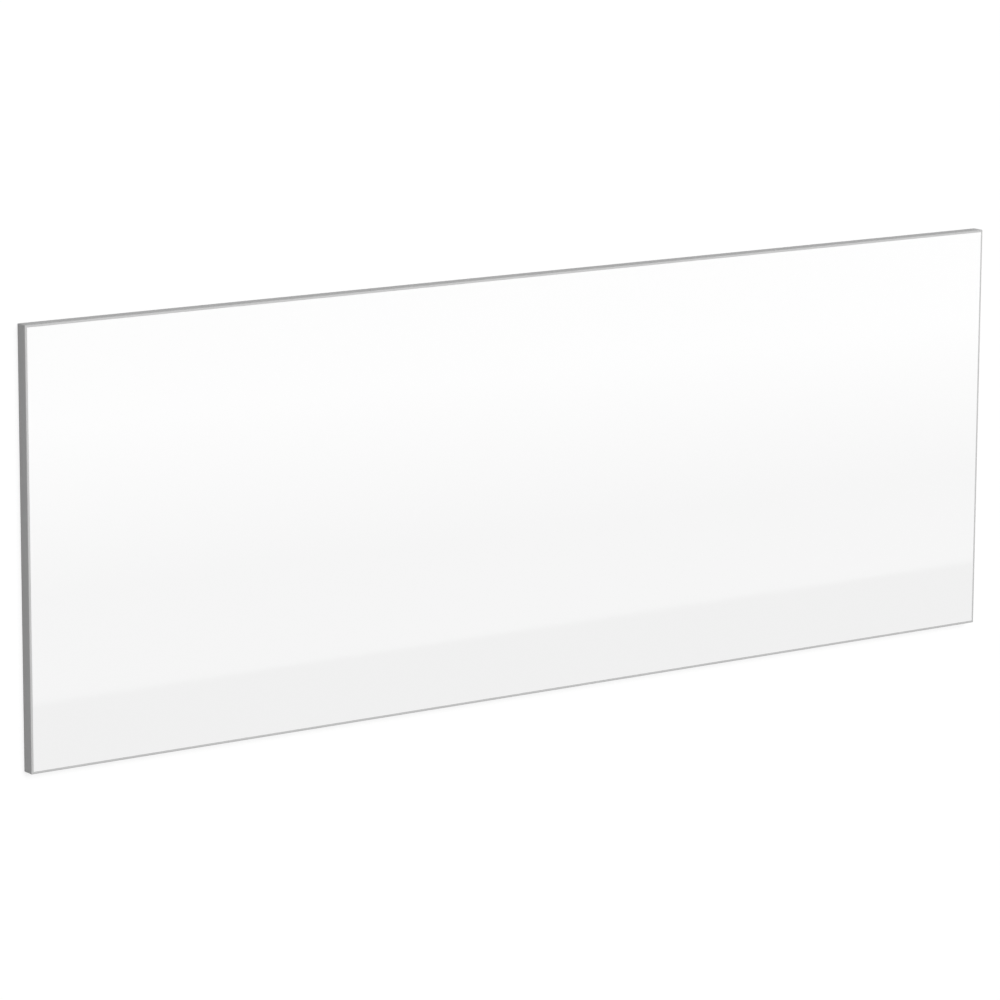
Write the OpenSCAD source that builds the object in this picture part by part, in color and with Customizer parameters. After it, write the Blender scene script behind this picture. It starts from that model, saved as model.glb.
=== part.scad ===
// Bath front panel: a white faced board with grey edging strips on all four edges.
// The panel lies on its back with the decorative face up. X runs along the bath,
// +Y points to the edge that fits under the bath rim, and the origin is the centre
// of the back, on the ground.

/* [Panel] */
// Finished length of the panel, along the bath
panel_l = 1500; // [900:10:1900]
// Finished height of the panel, from the floor edge to the rim edge
panel_h = 550; // [350:5:700]
// Thickness of the board and its edging
panel_t = 18; // [12:1:30]

/* [Edging] */
// Thickness of the edging strips, seen as the border round the face
edging_t = 3; // [1:0.5:5]
// Radius machined along the outer arrises of the edging
arris_r = 1; // [0.3:0.1:2]
// Radius in plan where the strips meet at the four corners
corner_r = 1; // [0.3:0.1:2]

/* [Hidden] */
$fn = 48;

// Both radii are cut in the edging alone, so neither is deeper than the strip.
arris = min(arris_r, edging_t);
corner = min(corner_r, edging_t);

// The board inside its edging, which is also the length of the two short strips.
board_l = panel_l - 2 * edging_t;
board_h = panel_h - 2 * edging_t;

// Places of the strips, each at the middle of its own thickness.
strip_x = (panel_l - edging_t) / 2;
strip_y = (panel_h - edging_t) / 2;

face_white = "#F7F7F7";
edging_grey = "#C4C4C5";

// A rectangle centred on the origin, with four true arcs of radius r at its corners.
module rounded_rect(l, w, r) {
    square([l - 2 * r, w], center = true);
    square([l, w - 2 * r], center = true);
    for (x = [-1, 1], y = [-1, 1])
        translate([x * (l / 2 - r), y * (w / 2 - r)])
            circle(r);
}

// The whole panel as one form, its twelve outer arrises rounded as a cutter leaves them.
module trimmed_form() {
    intersection() {
        linear_extrude(panel_t)
            rounded_rect(panel_l, panel_h, corner);
        translate([0, panel_h / 2, panel_t / 2])
            rotate([90, 0, 0])
                linear_extrude(panel_h)
                    rounded_rect(panel_l, panel_t, arris);
        translate([-panel_l / 2, 0, panel_t / 2])
            rotate([90, 0, 90])
                linear_extrude(panel_l)
                    rounded_rect(panel_h, panel_t, arris);
    }
}

// One strip of edging, l long and w wide in plan, cut from the trimmed form at x, y.
module edging_strip(l, w, x, y) {
    intersection() {
        trimmed_form();
        translate([x, y, panel_t / 2])
            cube([l, w, panel_t], center = true);
    }
}

// Pressed wood board with its white face, cut square on all four edges.
module board() {
    color(face_white)
        translate([0, 0, panel_t / 2])
            cube([board_l, board_h, panel_t], center = true);
}

// The long strips run the full length and cover the ends of the short ones.
module edging_top() {
    color(edging_grey)
        edging_strip(panel_l, edging_t, 0, strip_y);
}

module edging_bottom() {
    color(edging_grey)
        edging_strip(panel_l, edging_t, 0, -strip_y);
}

// The short strips stand between the long ones.
module edging_left() {
    color(edging_grey)
        edging_strip(edging_t, board_h, -strip_x, 0);
}

module edging_right() {
    color(edging_grey)
        edging_strip(edging_t, board_h, strip_x, 0);
}

board();
edging_top();
edging_bottom();
edging_left();
edging_right();
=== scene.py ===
"""A bath front panel lying on its back in a plain white studio.

The panel is a white gloss faced board, edged on all four sides with satin grey strips. The sizes and places of
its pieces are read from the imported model, in metres: X runs along the bath, +Y points to the edge that fits
under the bath rim, and +Z points out of the white face.
"""

import logging
import math
from dataclasses import dataclass
from enum import Enum

import bmesh
import bpy
from mathutils import Euler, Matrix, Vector


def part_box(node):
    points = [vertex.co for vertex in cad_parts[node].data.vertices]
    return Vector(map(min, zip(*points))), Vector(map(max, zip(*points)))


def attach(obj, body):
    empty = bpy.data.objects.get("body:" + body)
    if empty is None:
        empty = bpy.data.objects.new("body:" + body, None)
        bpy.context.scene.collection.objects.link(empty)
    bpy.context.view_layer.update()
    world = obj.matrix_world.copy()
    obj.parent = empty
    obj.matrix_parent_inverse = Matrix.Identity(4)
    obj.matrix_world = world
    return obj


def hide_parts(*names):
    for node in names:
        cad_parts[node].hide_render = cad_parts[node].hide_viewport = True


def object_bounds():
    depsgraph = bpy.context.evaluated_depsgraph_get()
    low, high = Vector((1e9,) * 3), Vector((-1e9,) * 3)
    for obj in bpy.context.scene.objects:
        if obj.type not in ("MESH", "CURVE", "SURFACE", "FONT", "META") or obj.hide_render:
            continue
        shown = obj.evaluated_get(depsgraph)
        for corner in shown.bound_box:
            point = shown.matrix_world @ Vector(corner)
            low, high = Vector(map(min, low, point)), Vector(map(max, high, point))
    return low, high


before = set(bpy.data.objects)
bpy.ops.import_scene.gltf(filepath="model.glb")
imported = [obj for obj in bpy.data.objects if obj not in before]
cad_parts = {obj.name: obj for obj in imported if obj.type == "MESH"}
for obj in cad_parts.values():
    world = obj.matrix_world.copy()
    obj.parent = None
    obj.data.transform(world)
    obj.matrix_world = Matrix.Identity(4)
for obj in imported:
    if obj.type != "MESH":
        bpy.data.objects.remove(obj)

CAD_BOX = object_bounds()
MM = 0.001
# Two places closer than this are the same place.
SAME_PLACE = 1e-6

LOG = logging.getLogger("bath_panel")

Node = bpy.types.ShaderNode
Socket = bpy.types.NodeSocket
Colour = tuple[float, float, float, float]


def linear(code: str) -> Colour:
    """Turn an sRGB hex colour into the linear colour that shaders work in.

    Args:
        code: The colour as it looks on a screen, such as "#C4C4C4".

    Returns:
        Red, green, blue and an alpha of one.
    """
    channels = (int(code[i:i + 2], 16) / 255 for i in (1, 3, 5))
    red, green, blue = (c / 12.92 if c <= 0.04045 else ((c + 0.055) / 1.055) ** 2.4 for c in channels)
    return red, green, blue, 1.0


def add_node(tree: bpy.types.NodeTree, kind: str, inputs: dict | None = None, **settings: object) -> Node:
    """Add one node to a tree, set it up and join what feeds it.

    Args:
        tree: The tree that gets the node.
        kind: The node's type, such as "ShaderNodeBump".
        inputs: What each input gets, by its name or number: a plain value, or the output socket to join to it.
        settings: The node's own options by name.

    Returns:
        The new node.
    """
    node = tree.nodes.new(kind)
    for option, value in settings.items():
        setattr(node, option, value)
    for key, value in (inputs or {}).items():
        if isinstance(value, bpy.types.NodeSocket):
            tree.links.new(value, node.inputs[key])
        else:
            node.inputs[key].default_value = value
    return node


def new_material(name: str) -> bpy.types.Material:
    """Make an empty material that is drawn by nodes."""
    material = bpy.data.materials.new(name)
    material.use_nodes = True
    material.node_tree.nodes.clear()
    return material


def deselect_all() -> None:
    """Leave nothing selected, so that an operator acts only on the piece in hand."""
    bpy.ops.object.select_all(action="DESELECT")


class Run(Enum):
    """The way a strip runs, as the index of the axis along it."""

    ALONG_LENGTH = 0
    ALONG_HEIGHT = 1


@dataclass(frozen=True)
class GlossLaminate:
    """Melamine laminate pressed on the board against a polished plate.

    It looks like white lacquer: a bright, nearly sharp reflection lies over an even white, and a very shallow
    waviness from the board beneath makes the edge of that reflection swim a little.
    """

    colour: str = "#F2F2F2"
    roughness: float = 0.035
    ior: float = 1.5
    wave_mm: float = 45.0
    wave_depth_mm: float = 0.004
    smear_mm: float = 160.0
    smear: float = 0.008

    def make(self) -> bpy.types.Material:
        """Build the laminate's material.

        Returns:
            The material for the panel's face.
        """
        material = new_material("gloss_melamine_laminate")
        tree = material.node_tree
        place = add_node(tree, "ShaderNodeTexCoord").outputs["Object"]
        waves = add_node(
            tree, "ShaderNodeTexNoise",
            {"Vector": place, "Scale": 1 / (self.wave_mm * MM), "Detail": 1.0, "Roughness": 0.4},
        )
        bump = add_node(
            tree, "ShaderNodeBump",
            {"Height": waves.outputs["Fac"], "Strength": 1.0, "Distance": self.wave_depth_mm * MM},
        )
        smears = add_node(
            tree, "ShaderNodeTexNoise",
            {"Vector": place, "Scale": 1 / (self.smear_mm * MM), "Detail": 3.0, "Roughness": 0.55},
        )
        rough = add_node(
            tree, "ShaderNodeMapRange",
            {
                "Value": smears.outputs["Fac"],
                "From Min": 0.3, "From Max": 0.7,
                "To Min": self.roughness - self.smear, "To Max": self.roughness + self.smear,
            },
        )
        shader = add_node(
            tree, "ShaderNodeBsdfPrincipled",
            {
                "Base Color": linear(self.colour),
                "Roughness": rough.outputs["Result"],
                "IOR": self.ior,
                "Normal": bump.outputs["Normal"],
            },
        )
        add_node(tree, "ShaderNodeOutputMaterial", {"Surface": shader.outputs["BSDF"]})
        return material


@dataclass(frozen=True)
class BackingFoil:
    """Resin-soaked paper that balances the laminate on the back of the board.

    It is a dull, slightly warm white with a soft grain pressed into it, so that it takes no reflection.
    """

    colour: str = "#E9E8E4"
    fleck_colour: str = "#DFDDD8"
    roughness: float = 0.6
    ior: float = 1.5
    grain_mm: float = 1.6
    grain_depth_mm: float = 0.03
    fleck_mm: float = 7.0

    def make(self) -> bpy.types.Material:
        """Build the foil's material.

        Returns:
            The material for the panel's back.
        """
        material = new_material("melamine_backing_foil")
        tree = material.node_tree
        place = add_node(tree, "ShaderNodeTexCoord").outputs["Object"]
        grain = add_node(
            tree, "ShaderNodeTexNoise",
            {"Vector": place, "Scale": 1 / (self.grain_mm * MM), "Detail": 2.0},
        )
        bump = add_node(
            tree, "ShaderNodeBump",
            {"Height": grain.outputs["Fac"], "Strength": 1.0, "Distance": self.grain_depth_mm * MM},
        )
        flecks = add_node(
            tree, "ShaderNodeTexNoise",
            {"Vector": place, "Scale": 1 / (self.fleck_mm * MM), "Detail": 4.0},
        )
        tint = add_node(
            tree, "ShaderNodeMix",
            {
                0: flecks.outputs["Fac"],
                6: linear(self.colour),
                7: linear(self.fleck_colour),
            },
            data_type="RGBA",
        )
        shader = add_node(
            tree, "ShaderNodeBsdfPrincipled",
            {
                "Base Color": tint.outputs[2],
                "Roughness": self.roughness,
                "IOR": self.ior,
                "Normal": bump.outputs["Normal"],
            },
        )
        add_node(tree, "ShaderNodeOutputMaterial", {"Surface": shader.outputs["BSDF"]})
        return material


@dataclass(frozen=True)
class PressedWood:
    """Fine chips and fibres pressed with resin, sawn square.

    It is the board's own edge under the strips: a dry, pale brown with darker flecks along the board.
    """

    colour: str = "#C3A57C"
    chip_colour: str = "#8F6F48"
    roughness: float = 0.85
    chip_mm: float = 2.5
    chip_depth_mm: float = 0.15

    def make(self) -> bpy.types.Material:
        """Build the sawn board's material.

        Returns:
            The material for the board's hidden edges.
        """
        material = new_material("sawn_pressed_wood")
        tree = material.node_tree
        place = add_node(tree, "ShaderNodeTexCoord").outputs["Object"]
        # A chip is pressed flat, so it is three times as wide as it is thick.
        flat = add_node(tree, "ShaderNodeMapping", {"Vector": place, "Scale": (1.0, 1.0, 3.0)})
        chips = add_node(
            tree, "ShaderNodeTexNoise",
            {"Vector": flat.outputs["Vector"], "Scale": 1 / (self.chip_mm * MM), "Detail": 5.0},
        )
        tint = add_node(
            tree, "ShaderNodeMix",
            {
                0: chips.outputs["Fac"],
                6: linear(self.colour),
                7: linear(self.chip_colour),
            },
            data_type="RGBA",
        )
        bump = add_node(
            tree, "ShaderNodeBump",
            {"Height": chips.outputs["Fac"], "Strength": 1.0, "Distance": self.chip_depth_mm * MM},
        )
        shader = add_node(
            tree, "ShaderNodeBsdfPrincipled",
            {"Base Color": tint.outputs[2], "Roughness": self.roughness, "Normal": bump.outputs["Normal"]},
        )
        add_node(tree, "ShaderNodeOutputMaterial", {"Surface": shader.outputs["BSDF"]})
        return material


@dataclass(frozen=True)
class SatinEdging:
    """Extruded ABS edging, trimmed flush with the board and scraped round at its arrises.

    It is an even, neutral grey plastic with a soft sheen. Faint lines from the die run along the strip, and its
    grey wanders slightly from place to place.
    """

    run: Run
    colour: str = "#B8B8B8"
    cloud_colour: str = "#B3B3B3"
    roughness: float = 0.48
    ior: float = 1.48
    # The real lines are about 0.2 mm apart, too fine to show, so they are drawn 1.2 mm apart.
    line_mm: float = 1.2
    line_depth_mm: float = 0.08
    cloud_mm: float = 60.0

    def make(self) -> bpy.types.Material:
        """Build the edging's material for strips that run one way.

        Returns:
            The material for the strips.
        """
        material = new_material("satin_abs_edging_" + self.run.name.lower())
        tree = material.node_tree
        place = add_node(tree, "ShaderNodeTexCoord").outputs["Object"]
        # Squeezed along the strip, the noise becomes lines that run for about forty times their spacing.
        squeeze = [1.0, 1.0, 1.0]
        squeeze[self.run.value] = 1 / 40
        along = add_node(tree, "ShaderNodeMapping", {"Vector": place, "Scale": squeeze})
        lines = add_node(
            tree, "ShaderNodeTexNoise",
            {"Vector": along.outputs["Vector"], "Scale": 1 / (self.line_mm * MM), "Detail": 1.0},
        )
        bump = add_node(
            tree, "ShaderNodeBump",
            {"Height": lines.outputs["Fac"], "Strength": 1.0, "Distance": self.line_depth_mm * MM},
        )
        clouds = add_node(
            tree, "ShaderNodeTexNoise",
            {"Vector": place, "Scale": 1 / (self.cloud_mm * MM), "Detail": 3.0},
        )
        tint = add_node(
            tree, "ShaderNodeMix",
            {
                0: clouds.outputs["Fac"],
                6: linear(self.colour),
                7: linear(self.cloud_colour),
            },
            data_type="RGBA",
        )
        shader = add_node(
            tree, "ShaderNodeBsdfPrincipled",
            {
                "Base Color": tint.outputs[2],
                "Roughness": self.roughness,
                "IOR": self.ior,
                "Normal": bump.outputs["Normal"],
            },
        )
        add_node(tree, "ShaderNodeOutputMaterial", {"Surface": shader.outputs["BSDF"]})
        return material


@dataclass
class PanelPiece:
    """One piece of the panel, modelled as a blank that is machined where it shows.

    A side of the blank either lies in one of the panel's own outer planes or is glued to another piece. An
    arris between two outer sides is rounded, and one round a glued side is only eased, which leaves the fine
    groove that shows as the joint.
    """

    name: str
    node: str
    arris: float = 1.0 * MM
    arris_steps: int = 6
    easing: float = 0.12 * MM
    easing_steps: int = 2

    def is_outer(self, face: bmesh.types.BMFace) -> bool:
        """Tell whether a flat side of the blank lies in one of the panel's outer planes.

        Args:
            face: A side of the blank.

        Returns:
            True for an outer side, and False for a glued one.
        """
        low, high = CAD_BOX
        middle = face.calc_center_median()
        return any(
            abs(face.normal[k]) > 0.999 and min(abs(middle[k] - low[k]), abs(middle[k] - high[k])) < SAME_PLACE
            for k in range(3)
        )

    def is_glued(self, face: bmesh.types.BMFace) -> bool:
        """Tell whether a face lies in one of the node's own planes that is not an outer plane.

        Args:
            face: A face of the piece, at any stage.

        Returns:
            True for a glued side, and False for an outer side or a rounded stretch.
        """
        low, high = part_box(self.node)
        middle = face.calc_center_median()
        return not self.is_outer(face) and any(
            abs(face.normal[k]) > 0.999 and min(abs(middle[k] - low[k]), abs(middle[k] - high[k])) < SAME_PLACE
            for k in range(3)
        )

    def add_blank(self) -> bpy.types.Object:
        """Add the square blank at the node's size and place.

        Returns:
            The blank, with its place in its mesh.
        """
        low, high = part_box(self.node)
        deselect_all()
        bpy.ops.mesh.primitive_cube_add(size=1.0, location=(low + high) / 2, scale=high - low)
        bpy.ops.object.transform_apply(location=True, rotation=True, scale=True)
        blank = bpy.context.object
        blank.name = self.name
        blank.data.name = self.name
        return blank

    def cut_arrises(self, piece: bpy.types.Object, glued: bool, depth: float, steps: int) -> None:
        """Round the arrises between outer sides, or ease those round the glued sides.

        Args:
            piece: The piece to cut.
            glued: True to ease the arrises round the glued sides, and False to round the outer ones.
            depth: How far the cut reaches from the arris along each side.
            steps: How many flats make up the round.
        """
        deselect_all()
        bpy.context.view_layer.objects.active = piece
        piece.select_set(True)
        bpy.ops.object.mode_set(mode="EDIT")
        bpy.ops.mesh.select_mode(type="EDGE")
        bpy.ops.mesh.select_all(action="DESELECT")
        mesh = bmesh.from_edit_mesh(piece.data)
        for edge in mesh.edges:
            if glued:
                chosen = sum(self.is_glued(face) for face in edge.link_faces) == 1
            else:
                chosen = all(self.is_outer(face) for face in edge.link_faces)
            edge.select_set(chosen)
        bmesh.update_edit_mesh(piece.data)
        bpy.ops.mesh.bevel(offset=depth, segments=steps, profile=0.5, affect="EDGES", clamp_overlap=False)
        bpy.ops.object.mode_set(mode="OBJECT")

    def smooth(self, piece: bpy.types.Object) -> None:
        """Shade the rounds smooth and keep the flats flat."""
        deselect_all()
        bpy.context.view_layer.objects.active = piece
        piece.select_set(True)
        bpy.ops.object.shade_smooth_by_angle(angle=math.radians(40))
        bpy.ops.object.modifier_add(type="WEIGHTED_NORMAL")
        piece.modifiers[-1].keep_sharp = True
        bpy.ops.object.modifier_apply(modifier=piece.modifiers[-1].name)

    def model(self) -> bpy.types.Object:
        """Model the piece from its blank.

        Returns:
            The finished mesh object, without its materials.
        """
        piece = self.add_blank()
        self.cut_arrises(piece, False, self.arris, self.arris_steps)
        self.cut_arrises(piece, True, self.easing, self.easing_steps)
        self.smooth(piece)
        return piece

    def fit(self, piece: bpy.types.Object, slot: str) -> None:
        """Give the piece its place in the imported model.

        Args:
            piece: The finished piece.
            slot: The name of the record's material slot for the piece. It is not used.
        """
        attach(piece, "root")
        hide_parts(self.node)
        low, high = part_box(self.node)
        size = [round((high[k] - low[k]) / MM, 2) for k in range(3)]
        LOG.info("%s: %s mm, %d faces", piece.name, size, len(piece.data.polygons))


@dataclass
class FacedBoard(PanelPiece):
    """The board: pressed wood with a gloss white face and a foiled back."""

    def dress(self, piece: bpy.types.Object) -> None:
        """Give the face, the back and the sawn edges their own finishes.

        Args:
            piece: The modelled board.
        """
        finishes = (PressedWood(), GlossLaminate(), BackingFoil())
        for finish in finishes:
            piece.data.materials.append(finish.make())
        sawn, face, back = range(len(finishes))
        for side in piece.data.polygons:
            if abs(side.normal.z) < 0.01:
                side.material_index = sawn
            else:
                side.material_index = face if side.normal.z > 0 else back

    def build(self) -> bpy.types.Object:
        """Model, dress and fit the board.

        Returns:
            The finished board.
        """
        piece = self.model()
        self.dress(piece)
        self.fit(piece, "board_white")
        return piece


@dataclass
class EdgingStrip(PanelPiece):
    """One strip of grey edging, glued to the board and trimmed flush."""

    run: Run = Run.ALONG_LENGTH

    def build(self) -> bpy.types.Object:
        """Model, dress and fit the strip.

        Returns:
            The finished strip.
        """
        piece = self.model()
        piece.data.materials.append(SatinEdging(self.run).make())
        self.fit(piece, "edging_grey")
        return piece

    def build_from(self, opposite: bpy.types.Object) -> bpy.types.Object:
        """Copy the finished strip of the opposite edge and turn it half round into place.

        Args:
            opposite: The finished strip of the opposite edge.

        Returns:
            The finished copy, with its own mesh.
        """
        deselect_all()
        bpy.context.view_layer.objects.active = opposite
        opposite.select_set(True)
        bpy.ops.object.duplicate(linked=False)
        piece = bpy.context.object
        piece.name = self.name
        piece.data.name = self.name
        piece.rotation_euler.z = math.pi
        bpy.ops.object.transform_apply(location=False, rotation=True, scale=False)
        self.fit(piece, "edging_grey")
        return piece


@dataclass
class Panel:
    """The whole panel: the faced board in its two pairs of edging strips."""

    board: FacedBoard
    pairs: tuple[tuple[EdgingStrip, EdgingStrip], ...]

    @classmethod
    def from_frame(cls) -> "Panel":
        """Name the panel's pieces and the nodes that they stand for."""
        return cls(
            board=FacedBoard("faced_board", "board"),
            pairs=(
                (
                    EdgingStrip("rim_strip", "edging_top", run=Run.ALONG_LENGTH),
                    EdgingStrip("floor_strip", "edging_bottom", run=Run.ALONG_LENGTH),
                ),
                (
                    EdgingStrip("left_strip", "edging_left", run=Run.ALONG_HEIGHT),
                    EdgingStrip("right_strip", "edging_right", run=Run.ALONG_HEIGHT),
                ),
            ),
        )

    def build(self) -> None:
        """Build the board, and then one strip of each pair and its copy."""
        self.board.build()
        for first, second in self.pairs:
            second.build_from(first.build())


@dataclass
class Floor:
    """The plain white floor that the panel lies on.

    A third of its white is the studio's light on its matt paint, which takes the panel's shadow. The rest is a
    glow that only the eye and reflections see.
    """

    width: float = 60.0
    colour: str = "#A0A0A0"
    glow: float = 0.68
    gap: float = 0.05 * MM

    def build(self) -> bpy.types.Object:
        """Lay the floor just under the panel.

        Returns:
            The floor.
        """
        deselect_all()
        bpy.ops.mesh.primitive_plane_add(size=self.width, location=(0.0, 0.0, CAD_BOX[0].z - self.gap))
        floor = bpy.context.object
        floor.name = "studio_floor"
        floor.data.materials.append(self.material())
        return floor

    def material(self) -> bpy.types.Material:
        """Paint the floor: matt, and white to the eye and in reflections.

        Returns:
            The floor's material.
        """
        material = new_material("white_studio_floor")
        tree = material.node_tree
        strength = add_node(
            tree, "ShaderNodeMath", {0: seen_directly(tree), 1: self.glow}, operation="MULTIPLY"
        )
        paint = add_node(tree, "ShaderNodeBsdfDiffuse", {"Color": linear(self.colour)})
        shine = add_node(tree, "ShaderNodeEmission", {"Strength": strength.outputs["Value"]})
        both = add_node(
            tree, "ShaderNodeAddShader", {0: paint.outputs["BSDF"], 1: shine.outputs["Emission"]}
        )
        add_node(tree, "ShaderNodeOutputMaterial", {"Surface": both.outputs["Shader"]})
        return material


def seen_directly(tree: bpy.types.NodeTree) -> Socket:
    """Tell what the eye sees, straight or in a reflection or through glass, from what only lights the scene.

    Args:
        tree: The tree that needs to know.

    Returns:
        A socket that is one for a camera, glossy or transmission ray, and zero for any other.
    """
    ray = add_node(tree, "ShaderNodeLightPath")
    either = add_node(
        tree, "ShaderNodeMath",
        {0: ray.outputs["Is Camera Ray"], 1: ray.outputs["Is Glossy Ray"]},
        operation="MAXIMUM",
    )
    any_of = add_node(
        tree, "ShaderNodeMath",
        {0: either.outputs["Value"], 1: ray.outputs["Is Transmission Ray"]},
        operation="MAXIMUM",
    )
    return any_of.outputs["Value"]


@dataclass
class Sky:
    """The white surroundings: plain white to the eye, and a weak even fill for the panel."""

    fill: float = 0.42
    white: float = 1.0

    def build(self) -> None:
        """Make the world and hang it in the scene."""
        world = bpy.data.worlds.new("white_surroundings")
        world.use_nodes = True
        tree = world.node_tree
        tree.nodes.clear()
        strength = add_node(
            tree, "ShaderNodeMapRange",
            {"Value": seen_directly(tree), "To Min": self.fill, "To Max": self.white},
        )
        sky = add_node(
            tree, "ShaderNodeBackground",
            {"Color": linear("#FFFFFF"), "Strength": strength.outputs["Result"]},
        )
        add_node(tree, "ShaderNodeOutputWorld", {"Surface": sky.outputs["Background"]})
        bpy.context.scene.world = world


@dataclass
class Key:
    """The broad, even lamp overhead, which leans towards the rim edge and so lights that side best."""

    face_light: float = 0.56 * math.pi
    lean_deg: float = 18.0
    width_deg: float = 40.0

    def build(self) -> bpy.types.Object:
        """Hang the lamp.

        Returns:
            The lamp.
        """
        data = bpy.data.lights.new("key", "SUN")
        data.energy = self.face_light / math.cos(math.radians(self.lean_deg))
        data.angle = math.radians(self.width_deg)
        lamp = bpy.data.objects.new("key", data)
        lamp.rotation_euler = (-math.radians(self.lean_deg), 0.0, 0.0)
        lamp.visible_glossy = False
        bpy.context.scene.collection.objects.link(lamp)
        return lamp


@dataclass
class SoftBox:
    """A lit card that hangs level over the panel and shows only in its gloss.

    Its near edge lies where the sheen on the face ends in a soft step, and it grows brighter away from there.
    Its other edges fade into the white surroundings.
    """

    height: float = 1.5
    x_middle: float = 1.0
    x_full: float = 2.0
    x_reach: float = 3.2
    y_edge: float = -0.6
    y_full: float = 0.6
    y_reach: float = 1.7
    plain_glow: float = 2.0
    far_glow: float = 3.52
    rise_from: float = -0.43
    rise_to: float = -0.16

    def build(self) -> bpy.types.Object:
        """Hang the card, lit side down and hidden from the camera.

        Returns:
            The card.
        """
        deselect_all()
        middle = (self.x_middle, (self.y_edge + self.y_reach) / 2, self.height)
        bpy.ops.mesh.primitive_plane_add(size=1.0, location=middle)
        card = bpy.context.object
        card.name = "softbox"
        card.scale = (2 * self.x_reach, self.y_reach - self.y_edge, 1.0)
        bpy.ops.object.transform_apply(location=True, rotation=True, scale=True)
        card.data.materials.append(self.material())
        card.visible_camera = False
        card.visible_diffuse = False
        card.visible_shadow = False
        return card

    def material(self) -> bpy.types.Material:
        """Light the card from its plain edge to its bright part, and fade its other edges.

        Returns:
            The card's material.
        """
        material = new_material("softbox_cloth")
        tree = material.node_tree
        place = add_node(tree, "ShaderNodeTexCoord").outputs["Object"]
        parts = add_node(tree, "ShaderNodeSeparateXYZ", {"Vector": place})
        rise = add_node(
            tree, "ShaderNodeMapRange",
            {
                "Value": parts.outputs["Y"],
                "From Min": self.rise_from, "From Max": self.rise_to,
                "To Min": self.plain_glow - 1, "To Max": self.far_glow - 1,
            },
        )
        far_fade = add_node(
            tree, "ShaderNodeMapRange",
            {"Value": parts.outputs["Y"], "From Min": self.y_reach, "From Max": self.y_full},
            interpolation_type="SMOOTHSTEP",
        )
        sideways = add_node(
            tree, "ShaderNodeMath", {0: parts.outputs["X"], 1: self.x_middle}, operation="SUBTRACT"
        )
        aside = add_node(tree, "ShaderNodeMath", {0: sideways.outputs["Value"]}, operation="ABSOLUTE")
        side_fade = add_node(
            tree, "ShaderNodeMapRange",
            {"Value": aside.outputs["Value"], "From Min": self.x_reach, "From Max": self.x_full},
            interpolation_type="SMOOTHSTEP",
        )
        fade = add_node(
            tree, "ShaderNodeMath",
            {0: far_fade.outputs["Result"], 1: side_fade.outputs["Result"]},
            operation="MULTIPLY",
        )
        glow = add_node(
            tree, "ShaderNodeMath",
            {0: rise.outputs["Result"], 1: fade.outputs["Value"], 2: 1.0},
            operation="MULTIPLY_ADD",
        )
        shine = add_node(tree, "ShaderNodeEmission", {"Strength": glow.outputs["Value"]})
        add_node(tree, "ShaderNodeOutputMaterial", {"Surface": shine.outputs["Emission"]})
        return material


@dataclass
class PhotoCamera:
    """The camera at the photograph's viewing angle.

    Its place is given from the face: it looks at a point near the middle, from the left by turn and from above
    the middle of the face, towards the rim edge, by tip.
    """

    frame_px: float = 1000.0
    sensor_mm: float = 36.0
    focal_px: float = 4715.0
    aim_mm: tuple[float, float] = (-57.3, -12.7)
    distance: float = 6.045
    turn_deg: float = 35.29
    tip_deg: float = 11.31
    roll_deg: float = 0.30

    def build(self) -> bpy.types.Object:
        """Set the camera up as the scene's own.

        Returns:
            The camera.
        """
        turned = Euler([math.radians(a) for a in (-self.tip_deg, -self.turn_deg, self.roll_deg)], "XYZ")
        aim = Vector((self.aim_mm[0] * MM, self.aim_mm[1] * MM, CAD_BOX[1].z))
        back = turned.to_matrix() @ Vector((0.0, 0.0, 1.0))
        data = bpy.data.cameras.new("photo_camera")
        data.sensor_width = self.sensor_mm
        data.lens = self.focal_px / self.frame_px * self.sensor_mm
        data.clip_end = 100.0
        camera = bpy.data.objects.new("photo_camera", data)
        camera.location = aim + self.distance * back
        camera.rotation_euler = turned
        bpy.context.scene.collection.objects.link(camera)
        bpy.context.scene.camera = camera
        return camera


def main() -> None:
    """Build the camera, the studio and the panel, and report each."""
    logging.basicConfig(level=logging.INFO, format="%(name)s: %(message)s")
    scene = bpy.context.scene
    scene.view_settings.view_transform = "Standard"
    camera = PhotoCamera().build()
    LOG.info("camera with a %.0f mm lens at %s m", camera.data.lens, [round(c, 3) for c in camera.location])
    for stage in (Floor(), Sky(), Key(), SoftBox()):
        stage.build()
        LOG.info("studio: %s", type(stage).__name__)
    Panel.from_frame().build()


if __name__ == "__main__":
    main()
